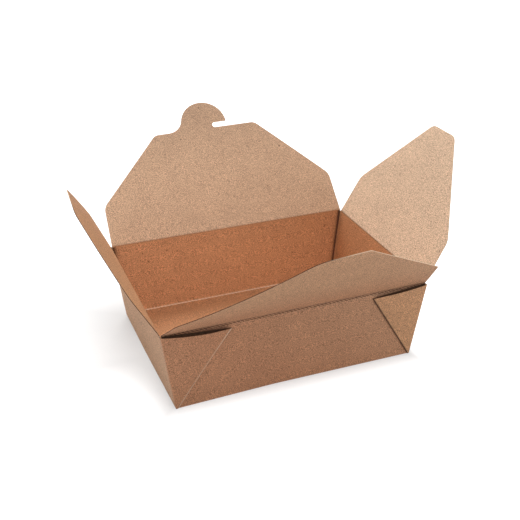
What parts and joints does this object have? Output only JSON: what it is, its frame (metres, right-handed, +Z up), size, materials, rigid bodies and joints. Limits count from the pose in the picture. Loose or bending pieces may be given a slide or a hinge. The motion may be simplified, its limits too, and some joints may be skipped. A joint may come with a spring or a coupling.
{
  "type": "takeaway box",
  "caption": "Folded kraft board takeaway box: a tapered tray with glued corner webs, end flaps, a front flap and a back flap with a hook tab.",
  "frame": {"origin": "on the table, at the middle of the underside of the floor", "axes": "+Z up; +X along the long side, to the right as seen from the front; +Y towards the back flap, which carries the hook tab"},
  "size_m": [0.3114, 0.3006, 0.1601],
  "materials": {
    "kraft_board": "matt uncoated kraft board"
  },
  "bodies": {
    "tray": {"tray": "kraft_board"},
    "front_flap": {"front_flap": "kraft_board"},
    "back_flap": {"back_flap": "kraft_board"},
    "left_flap": {"left_flap": "kraft_board"},
    "right_flap": {"right_flap": "kraft_board"}
  },
  "joints": [
    {"name": "left_crease", "type": "hinge", "parent": "tray", "child": "left_flap", "pos_m": [-0.108, 0, 0.0654], "axis": [0, 1, 0], "range_deg": [-63, 117]},
    {"name": "right_crease", "type": "hinge", "parent": "tray", "child": "right_flap", "pos_m": [0.108, 0, 0.0654], "axis": [0, -1, 0], "range_deg": [-60.3, 119.7]},
    {"name": "front_crease", "type": "hinge", "parent": "tray", "child": "front_flap", "pos_m": [0, -0.0755, 0.066], "axis": [-1, 0, 0], "range_deg": [-48, 132]},
    {"name": "back_crease", "type": "hinge", "parent": "tray", "child": "back_flap", "pos_m": [0, 0.0755, 0.0666], "axis": [1, 0, 0], "range_deg": [-46.5, 133.5]}
  ]
}
